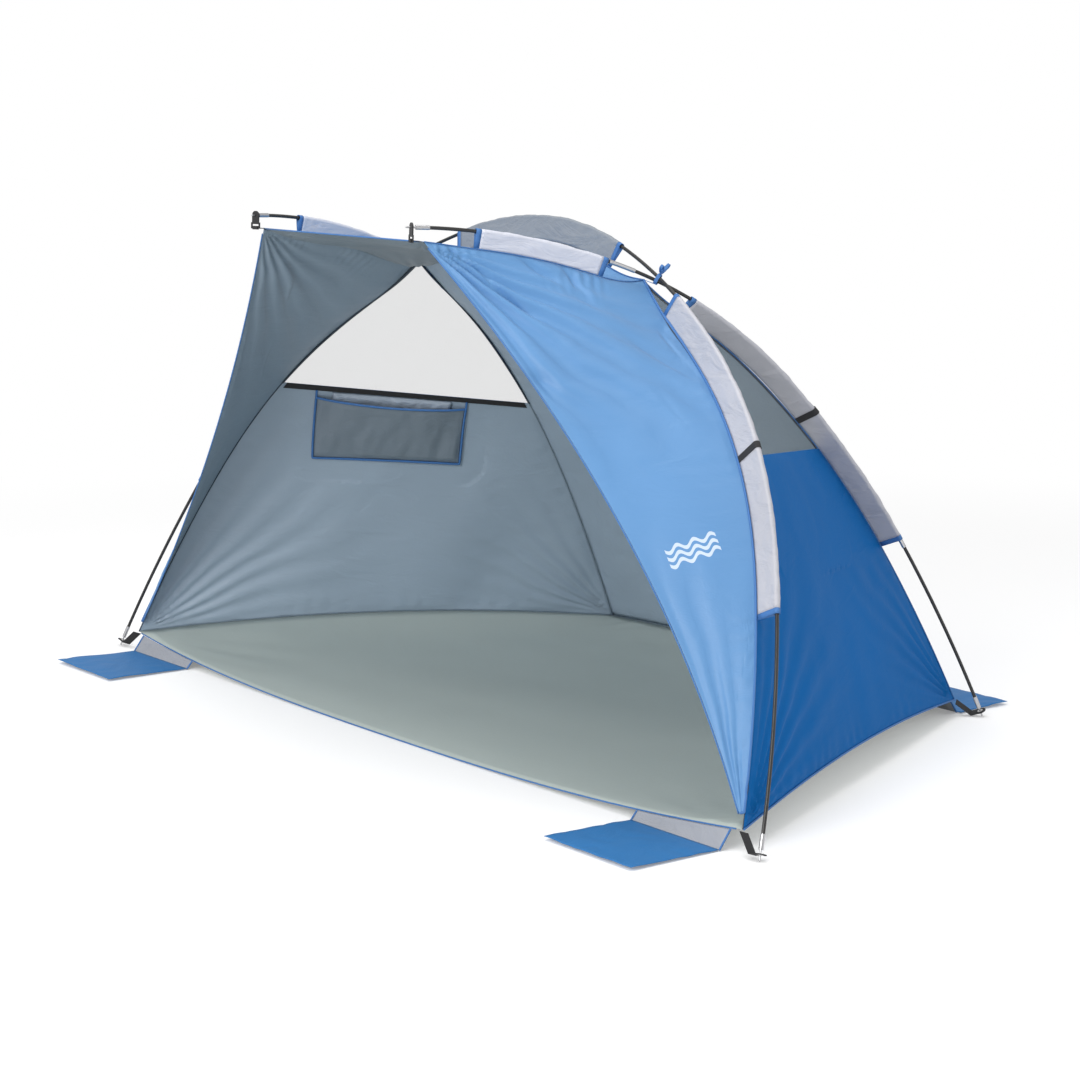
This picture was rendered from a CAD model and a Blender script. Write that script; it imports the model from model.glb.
# Beach shelter: its looks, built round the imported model. Metres, right half at +X, open front towards -Y.
import math

import bmesh
import bpy
import numpy as np
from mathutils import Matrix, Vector, kdtree, noise


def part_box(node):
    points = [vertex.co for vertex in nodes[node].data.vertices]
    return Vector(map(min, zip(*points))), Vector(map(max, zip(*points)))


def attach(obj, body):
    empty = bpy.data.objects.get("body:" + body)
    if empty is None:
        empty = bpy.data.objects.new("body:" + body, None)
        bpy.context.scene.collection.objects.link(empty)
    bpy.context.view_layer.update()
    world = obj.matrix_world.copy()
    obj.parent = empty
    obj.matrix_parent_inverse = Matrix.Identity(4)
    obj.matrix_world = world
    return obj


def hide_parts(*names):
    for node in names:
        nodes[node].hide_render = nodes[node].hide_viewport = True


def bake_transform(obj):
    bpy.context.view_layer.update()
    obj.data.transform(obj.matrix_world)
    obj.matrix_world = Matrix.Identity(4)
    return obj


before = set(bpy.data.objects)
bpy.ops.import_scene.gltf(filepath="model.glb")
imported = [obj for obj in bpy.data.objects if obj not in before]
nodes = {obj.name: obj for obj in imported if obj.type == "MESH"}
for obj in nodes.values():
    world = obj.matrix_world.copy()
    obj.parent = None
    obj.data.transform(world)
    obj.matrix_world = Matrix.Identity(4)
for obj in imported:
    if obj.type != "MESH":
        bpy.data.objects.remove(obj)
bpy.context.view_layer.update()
scene = bpy.context.scene
print("frame loaded,", len(nodes), "nodes")

# Right-hand corners of the canopy, where seams meet
corners = {
    "apex": Vector((0.4295, -0.1704, 1.0497)),
    "frontFoot": Vector((1.1981, -0.5447, 0.0453)),
    "backFoot": Vector((0.6422, 0.6141, 0.0365)),
    "topCorner": Vector((0.3176, -0.6792, 1.1467)),
}
cabinMiddle = Vector((0.0, -0.05, 0.35))  # outside faces look away from here


def mirrored(point):
    return Vector((-point.x, point.y, point.z))


def sided(side, name):
    point = corners[name]
    return point if side == "right" else mirrored(point)


# Camera
cameraSettings = {"place": (4.995, -3.941, 1.489), "down": 9.74, "turn": 52.63, "lens": 90.0}
camera = bpy.data.objects.new("camera", bpy.data.cameras.new("camera"))
scene.collection.objects.link(camera)
camera.location = cameraSettings["place"]
camera.rotation_euler = (
    math.radians(90 - cameraSettings["down"]), 0, math.radians(cameraSettings["turn"]))
camera.data.lens = cameraSettings["lens"]
camera.data.sensor_width = 36
scene.camera = camera


# Shader maths
class Value:
    def __init__(self, tree, socket):
        self.tree = tree
        self.socket = socket

    def join(self, operation, first, second):
        step = self.tree.nodes.new("ShaderNodeMath")
        step.operation = operation
        for place, value in zip(step.inputs, (first, second)):
            if isinstance(value, Value):
                self.tree.links.new(value.socket, place)
            else:
                place.default_value = value
        return Value(self.tree, step.outputs[0])

    def __add__(self, other):
        return self.join("ADD", self, other)

    def __radd__(self, other):
        return self.join("ADD", other, self)

    def __sub__(self, other):
        return self.join("SUBTRACT", self, other)

    def __rsub__(self, other):
        return self.join("SUBTRACT", other, self)

    def __mul__(self, other):
        return self.join("MULTIPLY", self, other)

    def __rmul__(self, other):
        return self.join("MULTIPLY", other, self)

    def __lt__(self, other):
        return self.join("LESS_THAN", self, other)


class Finish:
    def __init__(self, name):
        self.material = bpy.data.materials.new(name)
        self.material.use_nodes = True
        self.tree = self.material.node_tree
        self.shader = self.tree.nodes["Principled BSDF"]
        self.place = self.node("TexCoord", output="Object")

    def put(self, socket, value):
        if isinstance(value, Value):
            self.tree.links.new(value.socket, socket)
        elif hasattr(value, "__len__") and len(value) == 3 and socket.type == "RGBA":
            socket.default_value = (*value, 1)
        else:
            socket.default_value = value

    def node(self, kind, settings=None, output=0, inputs=None):
        made = self.tree.nodes.new("ShaderNode" + kind)
        for key, value in (settings or {}).items():
            if key == "stops":
                ramp = made.color_ramp
                while len(ramp.elements) < len(value):
                    ramp.elements.new(0.5)
                for element, (position, shade) in zip(ramp.elements, value):
                    element.position = position
                    element.color = (shade, shade, shade, 1)
            else:
                setattr(made, key, value)
        for key, value in (inputs or {}).items():
            self.put(made.inputs[key], value)
        return Value(self.tree, made.outputs[output])

    def noise(self, scale, detail=3.0, rough=0.55, warp=0.0, where=None):
        return self.node("TexNoise", None, 0, {"Vector": where or self.place, "Scale": scale,
                                                "Detail": detail, "Roughness": rough, "Distortion": warp})

    def stretched(self, scale, turn=(0, 0, 0)):
        return self.node("Mapping", None, 0, {"Vector": self.place, "Scale": scale, "Rotation": turn})

    def blend(self, factor, first, second):
        return self.node("Mix", {"data_type": "RGBA"}, 2, {0: factor, 6: first, 7: second})

    def bump(self, height, strength, distance, normal=None):
        inputs = {"Height": height, "Strength": strength, "Distance": distance}
        if normal:
            inputs["Normal"] = normal
        return self.node("Bump", None, 0, inputs)

    def shade(self, **values):
        for key, value in values.items():
            spaced = "".join(" " + c if c.isupper() else c for c in key).strip().title()
            self.put(self.shader.inputs[spaced.replace("Ior", "IOR")], value)
        return self.material


def clothFinish(name, colour, rough=0.5, crinkle=0.35, weave=1700.0, sheen=0.0, shift=0.10, tilt=0.0,
                specular=0.5, mark=None):
    cloth = Finish(name)
    tone = cloth.noise(2.2, 2.0)
    dark = tuple(c * (1 - shift) for c in colour)
    light = tuple(min(1.0, c * (1 + shift)) for c in colour)
    tint = cloth.blend(tone, dark, light)
    if mark:
        tint = mark(cloth, tint)
    threads = cloth.noise(weave, 1.0)
    creases = cloth.noise(9.0, 5.0, 0.6, 0.8, cloth.stretched((1.0, 0.6, 2.2), (0.0, tilt, 0.0)))
    folds = cloth.node("ValToRGB", {"stops": [(0.35, 0.0), (0.5, 0.55), (0.62, 1.0)]}, 0, {"Fac": creases})
    fine = cloth.bump(threads, 0.12, 0.0003)
    normal = cloth.bump(folds, crinkle, 0.0035, fine)
    cloth.shader.inputs["Specular IOR Level"].default_value = specular
    cloth.shader.inputs["Sheen Weight"].default_value = sheen
    cloth.shader.inputs["Sheen Roughness"].default_value = 0.4
    return cloth.shade(baseColor=tint, roughness=rough + 0.08 * tone - 0.04, normal=normal)


# Three small waves in pale ink, in place of any lettering
waveMark = {
    "middle": (0.925, -0.445, 0.549), "across": (0.493, 0.811, 0.315), "up": (-0.58, 0.078, 0.811),
    "halfWidth": 0.054, "spacing": 0.016, "lineHalf": 0.0042, "height": 0.006, "length": 0.036,
    "ink": (0.62, 0.70, 0.80), "cover": 0.85,
}


def waves(cloth, tint):
    m = waveMark
    middle = Vector(m["middle"])
    across = Vector(m["across"]).normalized()
    up = Vector(m["up"])
    up = (up - across * up.dot(across)).normalized()
    fromMiddle = cloth.node("VectorMath", {"operation": "SUBTRACT"}, 0, {0: cloth.place, 1: tuple(middle)})
    u = cloth.node("VectorMath", {"operation": "DOT_PRODUCT"}, 1, {0: fromMiddle, 1: tuple(across)})
    v = cloth.node("VectorMath", {"operation": "DOT_PRODUCT"}, 1, {0: fromMiddle, 1: tuple(up)})
    turns = u * (2 * math.pi / m["length"])
    swing = cloth.node("Math", {"operation": "SINE"}, 0, {0: turns}) * m["height"]
    inside = None
    for row in (-1, 0, 1):
        gap = cloth.node("Math", {"operation": "ABSOLUTE"}, 0, {0: v - swing - row * m["spacing"]})
        line = gap < m["lineHalf"]
        inside = line if inside is None else inside + line
    width = cloth.node("Math", {"operation": "ABSOLUTE"}, 0, {0: u}) < m["halfWidth"]
    return cloth.blend(inside * width * m["cover"], tint, m["ink"])


wingColour = (0.11, 0.265, 0.51)
wingBlue = clothFinish("wingBlue", wingColour, 0.42, 0.2, sheen=0.1, specular=0.35)
markedBlue = clothFinish("markedBlue", wingColour, 0.42, 0.2, sheen=0.1, specular=0.35, mark=waves)
wallBlue = clothFinish("wallBlue", (0.004, 0.122, 0.39), 0.55, 0.2, specular=0.06)
roofInside = clothFinish("roofInside", (0.155, 0.20, 0.235), 0.5, 0.22)
wingInside = clothFinish("wingInside", (0.265, 0.345, 0.425), 0.46, 0.25)
silverInside = clothFinish("silverInside", (0.335, 0.42, 0.51), 0.42, 0.25)
sleeveSilver = clothFinish("sleeveSilver", (0.46, 0.465, 0.51), 0.36, 0.6)
frontSilver = clothFinish("frontSilver", (0.62, 0.64, 0.72), 0.34, 0.6)
topSilver = clothFinish("topSilver", (0.235, 0.26, 0.295), 0.4, 0.6)
riserSilver = clothFinish("riserSilver", (0.33, 0.345, 0.38), 0.4, 0.8)
rollSilver = clothFinish("rollSilver", (0.36, 0.42, 0.50), 0.33, 0.8)
pocketGrey = clothFinish("pocketGrey", (0.19, 0.235, 0.28), 0.5, 0.3)
bindingBlue = clothFinish("bindingBlue", (0.05, 0.165, 0.42), 0.6, 0.1, 1200.0)
flapBlue = clothFinish("flapBlue", (0.032, 0.17, 0.42), 0.5, 0.35, specular=0.2)
seamDark = clothFinish("seamDark", (0.035, 0.05, 0.07), 0.6, 0.1, 1200.0)
seamSoft = clothFinish("seamSoft", (0.20, 0.26, 0.31), 0.6, 0.1, 1200.0)


def meshFinish():
    net = Finish("windowNet")
    across = net.node("TexWave", {"bands_direction": "X"}, 1, {"Vector": net.place, "Scale": 260.0})
    down = net.node("TexWave", {"bands_direction": "Z"}, 1, {"Vector": net.place, "Scale": 260.0})
    thread = across * 0.05 + down * 0.05
    normal = net.bump(thread, 0.3, 0.0003)
    return net.shade(baseColor=(0.20, 0.22, 0.235), roughness=0.7, alpha=thread + 0.09, normal=normal)


def floorFinish():
    sheet = Finish("wovenFloor")
    tone = sheet.noise(1.6, 3.0)
    grain = sheet.noise(420.0, 2.0)
    tapesX = sheet.node("TexWave", {"bands_direction": "X"}, 1, {"Vector": sheet.place, "Scale": 110.0,
                                                                    "Distortion": 0.4})
    tapesY = sheet.node("TexWave", {"bands_direction": "Y"}, 1, {"Vector": sheet.place, "Scale": 110.0,
                                                                    "Distortion": 0.4})
    creases = sheet.noise(5.0, 5.0, 0.6, 1.2)
    tint = sheet.blend(tone, (0.40, 0.46, 0.435), (0.48, 0.54, 0.51))
    worn = sheet.blend(tapesX * tapesY * 0.22 + grain * 0.12, tint, (0.55, 0.60, 0.57))
    fine = sheet.bump(tapesX + tapesY, 0.18, 0.0004)
    normal = sheet.bump(creases, 0.25, 0.006, fine)
    return sheet.shade(baseColor=worn, roughness=0.52 + 0.1 * grain, normal=normal)


def webbingFinish():
    web = Finish("blackWebbing")
    ribs = web.node("TexWave", {"bands_direction": "DIAGONAL"}, 1, {"Vector": web.place, "Scale": 240.0})
    fuzz = web.noise(900.0, 2.0)
    tint = web.blend(ribs * 0.6 + fuzz * 0.4, (0.008, 0.008, 0.009), (0.030, 0.030, 0.033))
    return web.shade(baseColor=tint, roughness=0.75, normal=web.bump(ribs, 0.4, 0.0004))


def rodFinish(name, dark, light, rough, metal, grain):
    rod = Finish(name)
    scratch = rod.noise(grain, 4.0, 0.6, 0.0, rod.stretched((1.0, 1.0, 0.15)))
    wear = rod.noise(35.0, 3.0)
    tint = rod.blend(scratch, dark, light)
    rod.shader.inputs["Metallic"].default_value = metal
    return rod.shade(baseColor=tint, roughness=rough + 0.15 * wear, normal=rod.bump(scratch, 0.08, 0.0002))


windowNet = meshFinish()
wovenFloor = floorFinish()
blackWebbing = webbingFinish()
fibreglass = rodFinish("fibreglass", (0.012, 0.012, 0.012), (0.03, 0.029, 0.028), 0.24, 0.0, 160.0)
tipMetal = rodFinish("tipMetal", (0.42, 0.42, 0.43), (0.66, 0.66, 0.67), 0.26, 1.0, 220.0)
eyeletMetal = rodFinish("eyeletMetal", (0.5, 0.5, 0.5), (0.74, 0.74, 0.74), 0.2, 1.0, 300.0)
blackPlastic = rodFinish("blackPlastic", (0.010, 0.010, 0.011), (0.022, 0.022, 0.024), 0.4, 0.0, 500.0)
elasticCord = rodFinish("elasticCord", (0.010, 0.010, 0.011), (0.03, 0.03, 0.032), 0.7, 0.0, 700.0)
print("finishes made")


# Meshes from the model's own skins
def mergedCopy(node):
    bm = bmesh.new()
    bm.from_mesh(nodes[node].data)
    bmesh.ops.remove_doubles(bm, verts=bm.verts, dist=1e-5)
    bm.normal_update()
    return bm


def faceGroups(bm, limit=math.radians(50)):
    left, groups = set(bm.faces), []
    while left:
        stack = [left.pop()]
        group = []
        while stack:
            face = stack.pop()
            group.append(face)
            for edge in face.edges:
                for near in edge.link_faces:
                    if near in left and face.normal.angle(near.normal, 0) < limit:
                        left.discard(near)
                        stack.append(near)
        groups.append(group)
    return sorted(groups, key=lambda g: -sum(f.calc_area() for f in g))


def toQuads(bm):
    bmesh.ops.join_triangles(bm, faces=bm.faces, angle_face_threshold=math.radians(60),
                             angle_shape_threshold=math.radians(80))


# The skins of a node that look away from the cabin's middle, or towards it, one for each solid
def skinOf(node, solids=1, away=True, up=None):
    bm = mergedCopy(node)
    groups = faceGroups(bm)[: 2 * solids]

    def looks(group):
        total = 0.0
        for face in group:
            toward = up if up else face.calc_center_median() - cabinMiddle
            total += face.calc_area() * face.normal.dot(toward)
        return total

    ranked = sorted(groups, key=looks, reverse=away)[:solids]
    keep = {face for group in ranked for face in group}
    bmesh.ops.delete(bm, geom=[f for f in bm.faces if f not in keep], context="FACES")
    toQuads(bm)
    return bm


def linked(name, mesh, finishes):
    piece = bpy.data.objects.new(name, mesh)
    scene.collection.objects.link(piece)
    for finish in finishes:
        mesh.materials.append(finish)
    for face in mesh.polygons:
        face.use_smooth = True
    return piece


def smoothed(bm, name, levels, finishes):
    rough = bpy.data.meshes.new(name)
    bm.to_mesh(rough)
    bm.free()
    holder = bpy.data.objects.new(name + ".rough", rough)
    scene.collection.objects.link(holder)
    finer = holder.modifiers.new("finer", "SUBSURF")
    finer.levels = finer.render_levels = levels
    finer.boundary_smooth = "PRESERVE_CORNERS"
    bpy.context.view_layer.update()
    mesh = bpy.data.meshes.new_from_object(holder.evaluated_get(bpy.context.evaluated_depsgraph_get()))
    bpy.data.objects.remove(holder)
    mesh.name = name
    mesh.materials.clear()
    return linked(name, mesh, finishes)


def pointsOf(piece):
    co = np.zeros(len(piece.data.vertices) * 3)
    piece.data.vertices.foreach_get("co", co)
    return co.reshape(-1, 3)


def normalsOf(piece):
    return np.array([v.normal for v in piece.data.vertices])


def setPoints(piece, co):
    piece.data.vertices.foreach_set("co", co.ravel())
    piece.data.update()


# The open edges of a piece, as ordered loops of vertex indices
def rims(piece):
    counts = {}
    for face in piece.data.polygons:
        for key in face.edge_keys:
            counts[key] = counts.get(key, 0) + 1
    near = {}
    for (a, b), count in counts.items():
        if count == 1:
            near.setdefault(a, []).append(b)
            near.setdefault(b, []).append(a)
    loops, left = [], set(near)
    while left:
        start = min(left)
        loop, here = [start], start
        left.discard(start)
        while True:
            ahead = [n for n in near[here] if n in left]
            if not ahead:
                break
            here = min(ahead)
            left.discard(here)
            loop.append(here)
        loops.append(loop)
    return loops


# The shorter stretch of rim from the point nearest one corner to the point nearest another
def rimBetween(piece, first, last):
    co = pointsOf(piece)
    best = None
    for loop in rims(piece):
        at = co[loop]
        i = int(np.argmin(((at - np.array(first)) ** 2).sum(1)))
        j = int(np.argmin(((at - np.array(last)) ** 2).sum(1)))
        miss = np.linalg.norm(at[i] - np.array(first)) + np.linalg.norm(at[j] - np.array(last))
        n = len(loop)
        forward = [loop[(i + k) % n] for k in range((j - i) % n + 1)]
        back = [loop[(i - k) % n] for k in range((i - j) % n + 1)]

        def length(path):
            return float(np.linalg.norm(np.diff(co[path], axis=0), axis=1).sum()) if len(path) > 1 else 0.0

        if best is None or miss < best[0]:
            best = (miss, min((forward, back), key=length))
    return best[1]


def smoothStep(x):
    x = np.clip(x, 0, 1)
    return x * x * (3 - 2 * x)


def nearest(co, path):
    tree = kdtree.KDTree(len(path))
    for k, point in enumerate(path):
        tree.insert(point, k)
    tree.balance()
    run = np.concatenate([[0], np.cumsum(np.linalg.norm(np.diff(path, axis=0), axis=1))])
    found = [tree.find(point) for point in co]
    return np.array([f[2] for f in found]), run[[f[1] for f in found]]


def nodePoints(node):
    return np.array([vertex.co for vertex in nodes[node].data.vertices])


# How far each point of a piece lies from its open edges
def rimDistance(piece, co):
    distance, _ = nearest(co, co[[i for loop in rims(piece) for i in loop]])
    return distance


# Each point goes out along its normal by its lift, fading to nothing at the open edges
def pushOut(piece, co, normals, lift, edge, hem=0.02):
    setPoints(piece, co + normals * (lift * smoothStep(edge / hem))[:, None])


def noiseAt(co, scale, seed=0.0):
    return np.array([noise.noise(Vector(p) * scale + Vector((seed, seed * 1.7, -seed))) for p in co])


# Folds that fan out from a corner, towards a point
def fan(co, normals, corner, towards, spread, reach, folds, height, seed=0.0, start=0.22):
    corner = np.array(corner)
    line = np.array(towards) - corner
    line /= np.linalg.norm(line)
    normal = normals[np.argmin(((co - corner - line * reach * 0.3) ** 2).sum(1))]
    side = np.cross(normal, line)
    side /= np.linalg.norm(side)
    d = co - corner
    r = np.linalg.norm(d, axis=1)
    angle = np.arctan2(d @ side, d @ line)
    wobble = noiseAt(co, 5.0, seed) * 0.9 + noiseAt(co, 14.0, seed + 3) * 0.25
    wave = np.sin(angle / spread * math.pi * folds + wobble * 2.2)
    wave = np.sign(wave) * np.abs(wave) ** 0.8
    near = smoothStep(r / (start * reach)) * np.clip(1 - r / reach, 0, 1) ** 1.3
    return height * wave * near * smoothStep(1.25 - np.abs(angle) / spread)


# Gathers across a seam
def pucker(co, path, wavelength, depth, height, seed=0.0, ends=None):
    d, s = nearest(co, path)
    phase = noiseAt(co, 9.0, seed) * 2.5
    fade = np.exp(-d / depth)
    if ends is not None:
        fade *= np.clip(1 - s / (s.max() * ends), 0, 1)
    here = smoothStep(0.55 + 2.2 * noiseAt(co, 6.5, seed + 2))
    return height * np.sin(s / wavelength * 2 * math.pi + phase) * fade * here


# Long shallow folds along a direction
def draws(co, along, wavelength, height, seed=0.0):
    along = np.array(along, float)
    along /= np.linalg.norm(along)
    flat = co - np.outer(co @ along, along) * 0.82
    return height * (noiseAt(flat, 1 / wavelength, seed) + 0.4 * noiseAt(flat, 2.3 / wavelength, seed + 5))


# Thin valleys that run along a direction, here and there
def creases(co, along, wavelength, height, seed=0.0, thin=0.09):
    along = np.array(along, float)
    along /= np.linalg.norm(along)
    flat = co - np.outer(co @ along, along) * 0.9
    valley = np.exp(-(noiseAt(flat, 1 / wavelength, seed) / thin) ** 2)
    there = smoothStep(0.5 + 2.5 * noiseAt(co, 6.0, seed + 7))
    return -height * valley * there


# Two sizes of crumple, each given as its height, its scale and its seed
def crumple(co, coarse, fine, shift=0):
    lift = coarse[0] * noiseAt(co, coarse[1], coarse[2] + shift)
    return lift + fine[0] * noiseAt(co, fine[1], fine[2] + shift)


# Trim rides with the cloth, and stands for no node of its own
def finishTrim(piece):
    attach(piece, "shelter")


# A sheet gets its thickness inwards, and its inside face the second finish
def finishSheet(piece, node, settings, inner=True):
    shell = piece.modifiers.new("thickness", "SOLIDIFY")
    shell.thickness = settings["thickness"]
    shell.offset = -1
    if inner:
        shell.material_offset = 1
    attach(piece, "shelter")
    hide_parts(node)


# A thin tube along a line of points
def tubeAlong(name, points, radius, finish, closed=False):
    curve = bpy.data.curves.new(name, "CURVE")
    curve.dimensions = "3D"
    curve.bevel_depth = radius
    curve.bevel_resolution = 2
    curve.use_fill_caps = True
    line = curve.splines.new("POLY")
    line.points.add(len(points) - 1)
    for place, point in zip(line.points, points):
        place.co = (*point, 1)
    line.use_cyclic_u = closed
    holder = bpy.data.objects.new(name, curve)
    scene.collection.objects.link(holder)
    bpy.context.view_layer.update()
    mesh = bpy.data.meshes.new_from_object(holder.evaluated_get(bpy.context.evaluated_depsgraph_get()))
    bpy.data.objects.remove(holder)
    return linked(name, mesh, [finish])


def joined(name, pieces, finishes):
    bm = bmesh.new()
    for piece in pieces:
        bm.from_mesh(piece.data)
        bpy.data.objects.remove(piece)
    mesh = bpy.data.meshes.new(name)
    bm.to_mesh(mesh)
    bm.free()
    return linked(name, mesh, finishes)


# How far out a pipe's middle lies, as a share of its radius, and how far behind the cloth's face a seam lies
seamSettings = {"sunk": 0.6, "behind": 0.0012}
outsidePipes, insidePipes, softPipes = [], [], []


# Piping outside and a seam inside, along a rim, each by its radius
def pipeSeam(piece, rim, outside, inside, soft=False):
    co, normals = pointsOf(piece), normalsOf(piece)
    line = co[rim]
    out = normals[rim]
    if outside:
        raised = line + out * outside * seamSettings["sunk"]
        outsidePipes.append(tubeAlong("pipe", raised, outside, bindingBlue))
    if inside:
        pipes = softPipes if soft else insidePipes
        depth = inside * seamSettings["sunk"] + seamSettings["behind"]
        pipes.append(tubeAlong("pipe", line - out * depth, inside, seamDark))


# The two wings
wingSettings = {
    "levels": 4, "flat": (1.36, 0.62), "area": 0.358, "thickness": 0.0008,
    "depth": {"right": 0.0095, "left": 0.0042},  # of the folds from the top corner
    "topFan": {"spread": 0.66, "reach": 0.95, "folds": 8, "seed": 1.0, "start": 0.07},
    "footFan": {"spread": 0.34, "reach": 0.72, "folds": 5, "height": 0.0046, "seed": 4.0, "start": 0.1},
    "foreGathers": {"wavelength": 0.024, "depth": 0.035, "seed": 2.0},
    "foreShare": 0.4,  # height of the front gathers, as a share of the folds' depth
    "legGathers": {"wavelength": 0.042, "depth": 0.030, "height": 0.0016, "seed": 6.0},
    "drawn": {"wavelength": 0.16, "height": 0.005, "seed": 8.0},
    "creased": {"wavelength": 0.075, "seed": 9.0},
    "creasedTo": 0.5,  # creases fade past this distance from the top corner
    "legPiping": (0.0026, 0.0014), "forePiping": (0.0012, 0.0016),
}
for side in ("right", "left"):
    top, foot, apex = (sided(side, n) for n in ("topCorner", "frontFoot", "apex"))
    outer = markedBlue if side == "right" else wingBlue
    piece = smoothed(skinOf(side + "_wing"), side + "Wing", wingSettings["levels"], [outer, wingInside])
    co, normals = pointsOf(piece), normalsOf(piece)
    foreSeam = rimBetween(piece, apex, top)
    legSeam = rimBetween(piece, apex, foot)
    deep = wingSettings["depth"][side]
    lift = fan(co, normals, top, apex * 0.62 + foot * 0.38, height=deep, **wingSettings["topFan"])
    lift += fan(co, normals, foot, top * 0.5 + apex * 0.5, **wingSettings["footFan"])
    lift += pucker(co, co[foreSeam], height=wingSettings["foreShare"] * deep, **wingSettings["foreGathers"])
    lift += pucker(co, co[legSeam], **wingSettings["legGathers"])
    lift += draws(co, foot - top, **wingSettings["drawn"])
    fromTop = np.linalg.norm(co - np.array(top), axis=1)
    creased = creases(co, apex * 0.55 + foot * 0.45 - top, height=deep, **wingSettings["creased"])
    lift += creased * smoothStep(1.5 - fromTop / wingSettings["creasedTo"])
    pushOut(piece, co, normals, lift, rimDistance(piece, co))
    pipeSeam(piece, legSeam, *wingSettings["legPiping"])
    pipeSeam(piece, foreSeam, *wingSettings["forePiping"])
    finishSheet(piece, side + "_wing", wingSettings)
print("wings made")

# The roof
roofSettings = {
    "levels": 4, "flat": (0.92, 0.56), "area": 0.429, "thickness": 0.0008,
    "sag": 0.026, "sagRun": 0.065, "hem": 0.02,
    "topFan": {"spread": 0.6, "reach": 0.55, "folds": 6, "height": 0.0035},
    "apexFan": {"spread": 0.7, "reach": 0.45, "folds": 6, "height": 0.003},
    "sideGathers": {"wavelength": 0.04, "depth": 0.05, "height": 0.0022, "ends": 0.7},
    "crownGathers": {"wavelength": 0.038, "depth": 0.04, "height": 0.0018, "seed": 13.0},
    "drawn": {"wavelength": 0.15, "height": 0.004, "seed": 15.0},
    "crownPiping": (0.0014, 0.0016),
}
piece = smoothed(skinOf("roof_panel", up=Vector((0, 0, 1))), "roofPanel", roofSettings["levels"],
                 [wingBlue, roofInside])
co, normals = pointsOf(piece), normalsOf(piece)
rightTop, leftTop = corners["topCorner"], mirrored(corners["topCorner"])
rightApex, leftApex = corners["apex"], mirrored(corners["apex"])
crownSeam = rimBetween(piece, rightApex, leftApex)
edge = rimDistance(piece, co)
lift = 0
for top, apex, seed in ((rightTop, rightApex, 11.0), (leftTop, leftApex, 17.0)):
    lift = lift + fan(co, normals, top, mirrored(apex), seed=seed, **roofSettings["topFan"])
    lift = lift + fan(co, normals, apex, mirrored(top), seed=seed + 2, **roofSettings["apexFan"])
    sideSeam = rimBetween(piece, apex, top)
    lift = lift + pucker(co, co[sideSeam], seed=seed + 3, **roofSettings["sideGathers"])
lift = lift + pucker(co, co[crownSeam], **roofSettings["crownGathers"])
lift = lift + draws(co, (1, 0, 0), **roofSettings["drawn"])
sag = roofSettings["sag"] * (1 - np.exp(-edge / roofSettings["sagRun"]))
setPoints(piece, co + normals * (lift * smoothStep(edge / roofSettings["hem"]) - sag)[:, None])
pipeSeam(piece, crownSeam, *roofSettings["crownPiping"])
finishSheet(piece, "roof_panel", roofSettings)
print("roof made")

# Side walls and windows
wallSettings = {
    "levels": 4, "flat": (1.30, 0.85), "area": 0.658, "thickness": 0.0008,
    "footFan": {"spread": 0.55, "reach": 0.85, "folds": 7, "height": 0.0052, "seed": 21.0, "start": 0.08},
    "backFan": {"spread": 0.5, "reach": 0.7, "folds": 6, "height": 0.0046, "seed": 24.0, "start": 0.08},
    "legGathers": {"wavelength": 0.045, "depth": 0.03, "height": 0.0014, "seed": 27.0},
    "backGathers": {"wavelength": 0.045, "depth": 0.03, "height": 0.0014, "seed": 28.0},
    "hemGathers": {"wavelength": 0.05, "depth": 0.03, "height": 0.0018, "seed": 29.0},
    "drawn": {"wavelength": 0.2, "height": 0.0055, "seed": 31.0},
    "byPocket": 0.07,  # within this distance of the pocket the wall only moves outwards
    "legPiping": (0, 0.0012), "backPiping": (0.0014, 0.0012), "hemPiping": (0.0020, 0.0012),
}
windowSettings = {
    "levels": 2, "flat": (0.62, 0.46), "area": 0.157, "thickness": 0.0004, "tip": 0.015,
    "drawn": {"wavelength": 0.12, "height": 0.003, "seed": 35.0},
    "legPiping": (0.0022, 0.0032), "backPiping": (0.0016, 0.0032 * 0.7),
}
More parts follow.
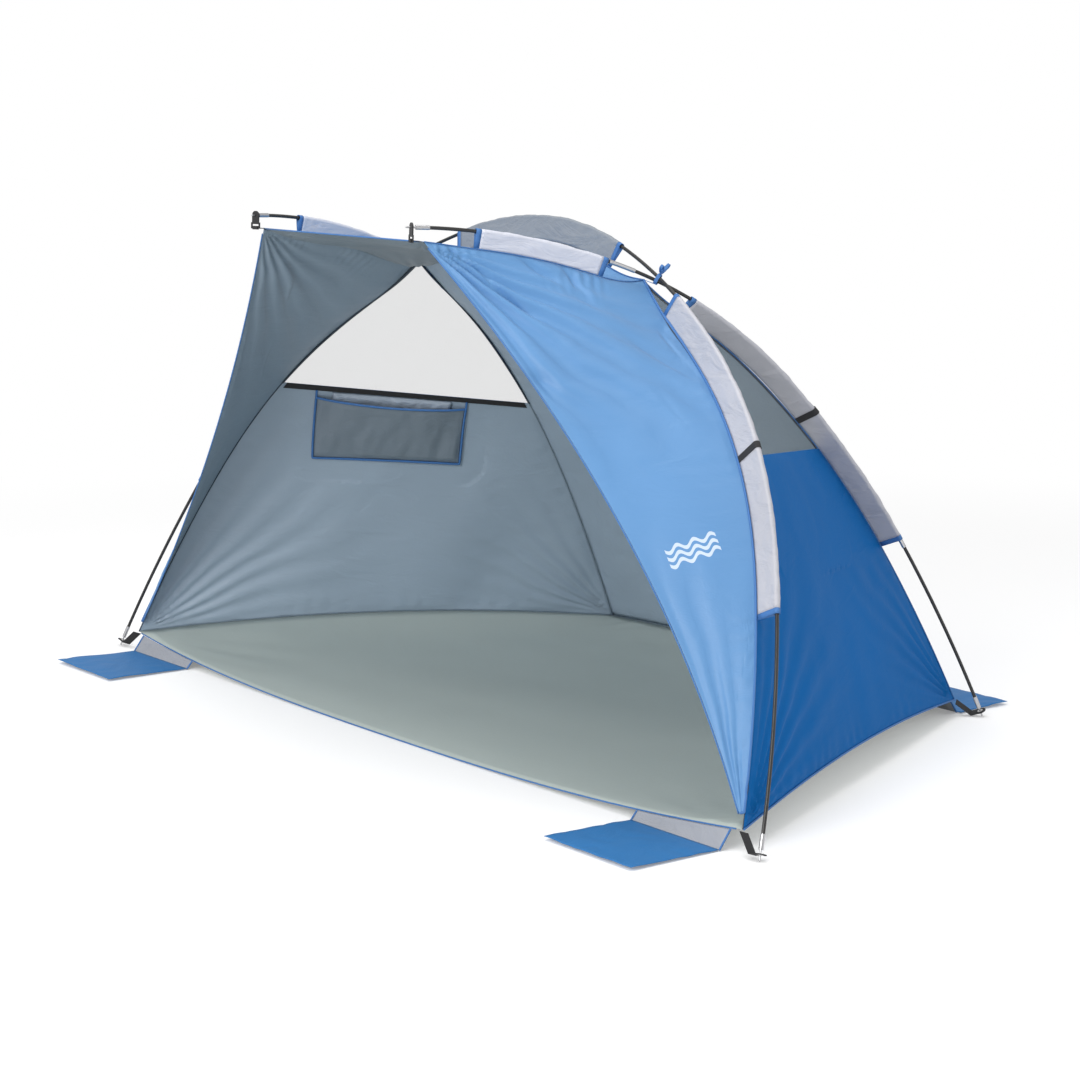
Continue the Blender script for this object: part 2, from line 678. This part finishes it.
for side in ("right", "left"):
    apex, foot, back = (sided(side, n) for n in ("apex", "frontFoot", "backFoot"))
    piece = smoothed(skinOf(side + "_side_wall"), side + "SideWall", wallSettings["levels"],
                     [wallBlue, silverInside])
    co, normals = pointsOf(piece), normalsOf(piece)
    net = nodePoints(side + "_window_mesh")
    legSill, backSill = Vector(net[net[:, 1].argmin()]), Vector(net[net[:, 1].argmax()])
    legSeam = rimBetween(piece, foot, legSill)
    backSeam = rimBetween(piece, back, backSill)
    hem = rimBetween(piece, foot, back)
    lift = fan(co, normals, foot, backSill, **wallSettings["footFan"])
    lift += fan(co, normals, back, legSill, **wallSettings["backFan"])
    lift += pucker(co, co[legSeam], **wallSettings["legGathers"])
    lift += pucker(co, co[backSeam], **wallSettings["backGathers"])
    lift += pucker(co, co[hem], **wallSettings["hemGathers"])
    lift += draws(co, (0.3, 0.3, 1.0), **wallSettings["drawn"])
    byPocket, _ = nearest(co, nodePoints(side + "_pocket"))
    lift = np.where(byPocket < wallSettings["byPocket"], np.maximum(lift, 0.0), lift)
    pushOut(piece, co, normals, lift, rimDistance(piece, co))
    pipeSeam(piece, legSeam, *wallSettings["legPiping"])
    pipeSeam(piece, backSeam, *wallSettings["backPiping"], soft=True)
    pipeSeam(piece, hem, *wallSettings["hemPiping"], soft=True)
    finishSheet(piece, side + "_side_wall", wallSettings)

    piece = smoothed(skinOf(side + "_window_mesh"), side + "WindowMesh", windowSettings["levels"],
                     [windowNet])
    co = pointsOf(piece)
    # the net is drawn up to a point: down is 0 at the apex and 1 along the sill
    tip = np.array(apex)
    ends = np.array([legSill - apex, backSill - apex])
    down = (co - tip) @ (np.linalg.pinv(ends) @ np.ones(2))
    ahead = 1 - (1 - down) * (1 - windowSettings["tip"]) / (1 - down.min())
    setPoints(piece, tip + (co - tip) * (ahead / down)[:, None])
    co, normals = pointsOf(piece), normalsOf(piece)
    lift = draws(co, (0.2, 0.6, 0.8), **windowSettings["drawn"])
    pushOut(piece, co, normals, lift, rimDistance(piece, co))
    pipeSeam(piece, rimBetween(piece, apex, legSill), *windowSettings["legPiping"])
    pipeSeam(piece, rimBetween(piece, apex, backSill), *windowSettings["backPiping"])
    finishSheet(piece, side + "_window_mesh", windowSettings,
                inner=False)
print("side walls and windows made")

# The rear wall
rearSettings = {
    "levels": 3, "flat": (1.42, 1.38), "area": 1.43, "thickness": 0.0008,
    "backFan": {"spread": 0.6, "reach": 0.75, "folds": 8, "height": 0.0042},
    "apexFan": {"spread": 0.6, "reach": 0.6, "folds": 7, "height": 0.0036},
    "sideGathers": {"wavelength": 0.045, "depth": 0.03, "height": 0.0014},
    "crownGathers": {"wavelength": 0.04, "depth": 0.045, "height": 0.002, "seed": 57.0},
    "hemGathers": {"wavelength": 0.05, "depth": 0.03, "height": 0.0016, "seed": 58.0},
    "drawn": {"wavelength": 0.22, "height": 0.006, "seed": 59.0},
    "hemPiping": (0.0020, 0.0012),
}
piece = smoothed(skinOf("rear_wall"), "rearWall", rearSettings["levels"], [wallBlue, silverInside])
co, normals = pointsOf(piece), normalsOf(piece)
lift = 0
for side, seed in (("right", 41.0), ("left", 51.0)):
    apex, back = sided(side, "apex"), sided(side, "backFoot")
    lift = lift + fan(co, normals, back, mirrored(apex), seed=seed, **rearSettings["backFan"])
    lift = lift + fan(co, normals, apex, mirrored(back), seed=seed + 3, **rearSettings["apexFan"])
    sideSeam = rimBetween(piece, apex, back)
    lift = lift + pucker(co, co[sideSeam], seed=seed + 5, **rearSettings["sideGathers"])
crown = rimBetween(piece, rightApex, leftApex)
rearHem = rimBetween(piece, corners["backFoot"], mirrored(corners["backFoot"]))
lift = lift + pucker(co, co[crown], **rearSettings["crownGathers"])
lift = lift + pucker(co, co[rearHem], **rearSettings["hemGathers"])
lift = lift + draws(co, (0.1, 0.4, 1.0), **rearSettings["drawn"])
pushOut(piece, co, normals, lift, rimDistance(piece, co))
pipeSeam(piece, rearHem, *rearSettings["hemPiping"], soft=True)
finishSheet(piece, "rear_wall", rearSettings)
print("rear wall made")

# The floor
floorSettings = {
    "levels": 2, "flat": (2.40, 1.20), "area": 2.198, "thickness": 0.0009, "held": "laid",
    "frontFan": {"spread": 0.7, "reach": 0.6, "folds": 5, "height": 0.004},
    "backFan": {"spread": 0.7, "reach": 0.5, "folds": 5, "height": 0.003},
    "drawn": {"wavelength": 0.3, "height": 0.004, "seed": 71.0},
    "hem": 0.03, "lowest": 0.0012,
}
piece = smoothed(skinOf("floor_sheet", up=Vector((0, 0, 1))), "floorSheet", floorSettings["levels"],
                 [wovenFloor, wovenFloor])
co, normals = pointsOf(piece), normalsOf(piece)
lift = 0
for side, seed in (("right", 61.0), ("left", 67.0)):
    foot, back = sided(side, "frontFoot"), sided(side, "backFoot")
    lift = lift + fan(co, normals, foot, mirrored(back), seed=seed, **floorSettings["frontFan"])
    lift = lift + fan(co, normals, back, mirrored(foot), seed=seed + 2, **floorSettings["backFan"])
lift = lift + draws(co, (1, 0.2, 0), **floorSettings["drawn"])
moved = co + normals * (lift * smoothStep(rimDistance(piece, co) / floorSettings["hem"]))[:, None]
moved[:, 2] = np.maximum(moved[:, 2], floorSettings["lowest"])
setPoints(piece, moved)
finishSheet(piece, "floor_sheet", floorSettings)
print("floor made")

# Sleeves
sleeveSettings = {"levels": 3, "thickness": 0.0006, "coarse": (0.0016, 26.0, 80.0),
                  "fine": (0.0010, 60.0, 90.0), "hem": 0.012, "corner": 62}
sleeves = {
    "hoop_top_sleeve": ("hoopTopSleeve", topSilver, (0.116, 0.66)),
    "right_hoop_sleeve": ("rightHoopSleeve", sleeveSilver, (0.116, 0.90)),
    "left_hoop_sleeve": ("leftHoopSleeve", sleeveSilver, (0.116, 0.90)),
    "right_front_sleeve": ("rightFrontSleeve", frontSilver, (0.082, 0.31)),
    "left_front_sleeve": ("leftFrontSleeve", frontSilver, (0.082, 0.31)),
    "right_rear_sleeve": ("rightRearSleeve", sleeveSilver, (0.111, 0.79)),
    "left_rear_sleeve": ("leftRearSleeve", sleeveSilver, (0.111, 0.79)),
}
for k, (node, (name, finish, flat)) in enumerate(sleeves.items()):
    bm = mergedCopy(node)
    keep = set(faceGroups(bm, math.radians(sleeveSettings["corner"]))[0])
    bmesh.ops.delete(bm, geom=[f for f in bm.faces if f not in keep], context="FACES")
    toQuads(bm)
    piece = smoothed(bm, name, sleeveSettings["levels"], [finish, seamDark])
    co, normals = pointsOf(piece), normalsOf(piece)
    lift = crumple(co, sleeveSettings["coarse"], sleeveSettings["fine"], k)
    pushOut(piece, co, normals, lift, rimDistance(piece, co), sleeveSettings["hem"])
    finishSheet(piece, node, {**sleeveSettings, "flat": flat})
print("sleeves made")

# Pockets, and the stowed flaps at their mouths
pocketSettings = {
    "levels": 3, "flat": (0.385, 0.18), "area": 0.0669, "thickness": 0.0007, "held": "hung",
    "drawn": {"wavelength": 0.06, "height": 0.006, "seed": 101.0},
    "clear": 0.003,  # how far the pocket stands off the wall
    "binding": 0.0030, "proud": 0.0030, "toSill": 0.12,
}
for side in ("right", "left"):
    piece = smoothed(skinOf(side + "_pocket", away=False), side + "Pocket", pocketSettings["levels"],
                     [pocketGrey, pocketGrey])
    co, normals = pointsOf(piece), normalsOf(piece)
    loop = rims(piece)[0]
    edge, _ = nearest(co, co[loop])
    clear = pocketSettings["clear"]
    lift = clear + np.maximum(draws(co, (0.2, 0.2, 1.0), **pocketSettings["drawn"]), -clear)
    pushOut(piece, co, normals, lift, edge)
    rim = pointsOf(piece)[loop] + normalsOf(piece)[loop] * pocketSettings["proud"]
    tubes = [tubeAlong("pipe", rim, pocketSettings["binding"], bindingBlue, closed=True)]
    # the binding's two sides run on up to the sill
    middle = rim.mean(0)
    axes = np.linalg.svd(rim - middle)[2][:2]
    spread = (rim - middle) @ axes.T
    spread /= np.abs(spread).max(0)
    if axes[1][2] < 0:
        spread[:, 1] *= -1
    for way in (-1, 1):
        upper, lower = rim[np.argmax(spread @ (way, 1))], rim[np.argmax(spread @ (way, -1))]
        tubes.append(tubeAlong("pipe", [upper, upper + (upper - lower) * pocketSettings["toSill"]],
                               pocketSettings["binding"], bindingBlue))
    finishTrim(joined(side + "PocketBinding", tubes, [bindingBlue]))
    finishSheet(piece, side + "_pocket", pocketSettings)

rollSettings = {
    "levels": 3, "flat": (0.62, 0.075), "thickness": 0.0010, "held": "folded", "hem": 0.008,
    "swell": 0.0045, "coarse": (0.0045, 34.0, 111.0), "fine": (0.0016, 80.0, 113.0),
}
piece = smoothed(skinOf("stowed_window_flaps", solids=2, away=False), "stowedWindowFlaps",
                 rollSettings["levels"], [rollSilver, rollSilver])
co, normals = pointsOf(piece), normalsOf(piece)
(puff, puffScale, puffSeed), (fine, fineScale, fineSeed) = rollSettings["coarse"], rollSettings["fine"]
lift = rollSettings["swell"] + puff * np.abs(noiseAt(co, puffScale, puffSeed)) \
    + fine * noiseAt(co, fineScale, fineSeed)
pushOut(piece, co, normals, lift, rimDistance(piece, co), rollSettings["hem"])
finishSheet(piece, "stowed_window_flaps", rollSettings)
print("pockets made")


# Bindings, rebuilt smooth: an edge sharper than the corner angle stays sharp
def smoothCopy(node, name, levels, finish, corner=math.radians(62)):
    bm = mergedCopy(node)
    crease = bm.edges.layers.float.get("crease_edge") or bm.edges.layers.float.new("crease_edge")
    for edge in bm.edges:
        if len(edge.link_faces) == 2 and edge.calc_face_angle() > corner:
            edge[crease] = 1.0
    toQuads(bm)
    piece = smoothed(bm, name, levels, [finish])
    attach(piece, "shelter")
    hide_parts(node)


smoothCopy("canopy_edge_bindings", "canopyEdgeBindings", 2, bindingBlue)
smoothCopy("floor_edge_binding", "floorEdgeBinding", 2, bindingBlue)
smoothCopy("sleeve_end_bindings", "sleeveEndBindings", 1, bindingBlue)

finishTrim(joined("seamPiping", outsidePipes, [bindingBlue]))
finishTrim(joined("insideSeams", insidePipes, [seamDark]))
finishTrim(joined("softSeams", softPipes, [seamSoft]))
print("bindings made")

# Sand flaps: flat at the fold, swelling and crumpled away from it
flapSettings = {
    "width": 0.272, "deep": {"front": 0.222, "rear": 0.16}, "thickness": 0.0012, "cells": (34, 28),
    "clear": 0.0022, "rise": 0.002, "swell": 0.004, "swellScale": 7.0, "swellSeed": 121.0,
    "crumple": 0.0035, "crumpleScale": 16.0, "crumpleSeed": 125.0,
    "foldHeight": 0.0015, "foldBefore": 0.004, "foldAfter": 0.016,  # where the bend starts and ends
}
for place in ("front_left", "front_right", "rear_left", "rear_right"):
    f = flapSettings
    node = place + "_sand_flap"
    end = place.split("_")[0]
    deep = f["deep"][end]
    low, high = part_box(node)
    bm = bmesh.new()
    bmesh.ops.create_grid(bm, x_segments=f["cells"][0], y_segments=f["cells"][1], size=0.5)
    bmesh.ops.scale(bm, vec=(high.x - low.x, high.y - low.y, 1), verts=bm.verts)
    bmesh.ops.translate(bm, vec=((low.x + high.x) / 2, (low.y + high.y) / 2, high.z), verts=bm.verts)
    name = "".join(w.capitalize() if n else w for n, w in enumerate(node.split("_")))
    mesh = bpy.data.meshes.new(name)
    bm.to_mesh(mesh)
    bm.free()
    piece = linked(name, mesh, [flapBlue, flapBlue])
    co = pointsOf(piece)
    fold, direction = (high.y, -1) if end == "front" else (low.y, 1)
    out = np.abs(co[:, 1] - fold) / (high.y - low.y)
    swell = 0.5 + 0.5 * noiseAt(co, f["swellScale"], f["swellSeed"] + deep)
    crumpled = f["crumple"] * np.abs(noiseAt(co, f["crumpleScale"], f["crumpleSeed"]))
    raised = f["clear"] + smoothStep(out) * (f["swell"] * swell + f["rise"])
    co[:, 2] += raised + crumpled * smoothStep(out * 4)
    setPoints(piece, co)
    shell = piece.modifiers.new("thickness", "SOLIDIFY")
    shell.thickness = f["thickness"]
    shell.offset = -1
    shell.material_offset = 1
    x = (low.x + high.x) / 2
    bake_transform(piece)
    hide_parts(node)

# The risers that the flaps are sewn to, with a bound edge at each end
riserSettings = {
    "levels": 3, "flat": (1.02, 0.041), "thickness": 0.0008, "held": "hung", "hem": 0.012,
    "coarse": (0.003, 18.0, 131.0), "fine": (0.002, 45.0, 133.0), "binding": 0.0022, "endWidth": 0.005,
}
piece = smoothed(skinOf("sand_flap_risers", solids=4), "sandFlapRisers", riserSettings["levels"],
                 [riserSilver, riserSilver])
co, normals = pointsOf(piece), normalsOf(piece)
lift = crumple(co, riserSettings["coarse"], riserSettings["fine"])
pushOut(piece, co, normals, lift, rimDistance(piece, co), riserSettings["hem"])
co, ends = pointsOf(piece), []
for loop in rims(piece):
    rim = co[loop]
    for x in (rim[:, 0].min(), rim[:, 0].max()):
        edge = rim[np.abs(rim[:, 0] - x) < riserSettings["endWidth"]]
        ends.append(tubeAlong("pipe", edge[edge[:, 2].argsort()], riserSettings["binding"], bindingBlue))
finishTrim(joined("riserEnds", ends, [bindingBlue]))
finishSheet(piece, "sand_flap_risers", riserSettings)
print("sand flaps made")

# Finishes of the pieces that stay as they are
kept = {
    "section": fibreglass, "ferrules": tipMetal, "pole_tips": tipMetal, "shock_cords": elasticCord,
    "sill_tape": blackWebbing, "corner_straps": blackWebbing, "webbing_loops": blackWebbing,
    "strap_eyelets": eyeletMetal, "top_tab": blackPlastic, "apex_tie": bindingBlue,
}
for name, node in nodes.items():
    for key, finish in kept.items():
        if key in name:
            node.data.materials.clear()
            node.data.materials.append(finish)

# Ground and light
groundSettings = {"half": 60.0, "below": 0.0006, "shade": 0.82, "glow": 0.22, "near": 2.0, "far": 4.2}
bm = bmesh.new()
bmesh.ops.create_grid(bm, x_segments=1, y_segments=1, size=groundSettings["half"])
bmesh.ops.translate(bm, vec=(0, 0, -groundSettings["below"]), verts=bm.verts)
mesh = bpy.data.meshes.new("ground")
bm.to_mesh(mesh)
bm.free()
ground = bpy.data.objects.new("ground", mesh)
scene.collection.objects.link(ground)
pale = Finish("paleGround")
sees = pale.node("LightPath", output="Is Camera Ray") + pale.node("LightPath", output="Is Glossy Ray") \
    + pale.node("LightPath", output="Is Transmission Ray")
pale.shader.inputs["Specular IOR Level"].default_value = 0.0
pale.shade(baseColor=(groundSettings["shade"],) * 3, roughness=0.9, emissionColor=(1, 1, 1),
           emissionStrength=sees * groundSettings["glow"])
away = pale.node("VectorMath", {"operation": "LENGTH"}, 1, {0: pale.place})
fade = pale.node("MapRange", {"interpolation_type": "SMOOTHSTEP"}, 0, {
    "Value": away, "From Min": groundSettings["near"], "From Max": groundSettings["far"]})
white = pale.node("Emission", None, 0, {"Color": (1, 1, 1), "Strength": 1.0})
lit = Value(pale.tree, pale.shader.outputs[0])
mixed = pale.node("MixShader", None, 0, {0: fade * sees, 1: lit, 2: white})
pale.tree.links.new(mixed.socket, pale.tree.nodes["Material Output"].inputs["Surface"])
mesh.materials.append(pale.material)

worldSettings = {"level": 0.65, "seen": 0.35}  # the camera sees the two together, a plain white
world = bpy.data.worlds.new("studio")
world.use_nodes = True
scene.world = world
tree = world.node_tree
background = tree.nodes["Background"]
background.inputs["Color"].default_value = (1, 1, 1, 1)
path = tree.nodes.new("ShaderNodeLightPath")
seen = Value(tree, path.outputs["Is Camera Ray"])
strength = seen * worldSettings["seen"] + worldSettings["level"]
tree.links.new(strength.socket, background.inputs["Strength"])

lights = {
    "key": {"place": (2.2, -5.8, 3.4), "size": 3.4, "power": 210.0, "aim": (-0.2, 0.0, 0.5)},
    "top": {"place": (0.2, -0.8, 4.8), "size": 4.0, "power": 90.0, "aim": (0.0, -0.2, 0.6)},
    "fill": {"place": (5.2, 2.4, 2.6), "size": 3.0, "power": 25.0, "aim": (0.6, 0.0, 0.5)},
}
for name, l in lights.items():
    lamp = bpy.data.lights.new(name, "AREA")
    lamp.shape = "DISK"
    lamp.size = l["size"]
    lamp.energy = l["power"]
    light = bpy.data.objects.new(name, lamp)
    scene.collection.objects.link(light)
    light.location = l["place"]
    light.rotation_euler = (Vector(l["aim"]) - Vector(l["place"])).to_track_quat("-Z", "Y").to_euler()
scene.view_settings.view_transform = "Standard"
print("ground and lights made")
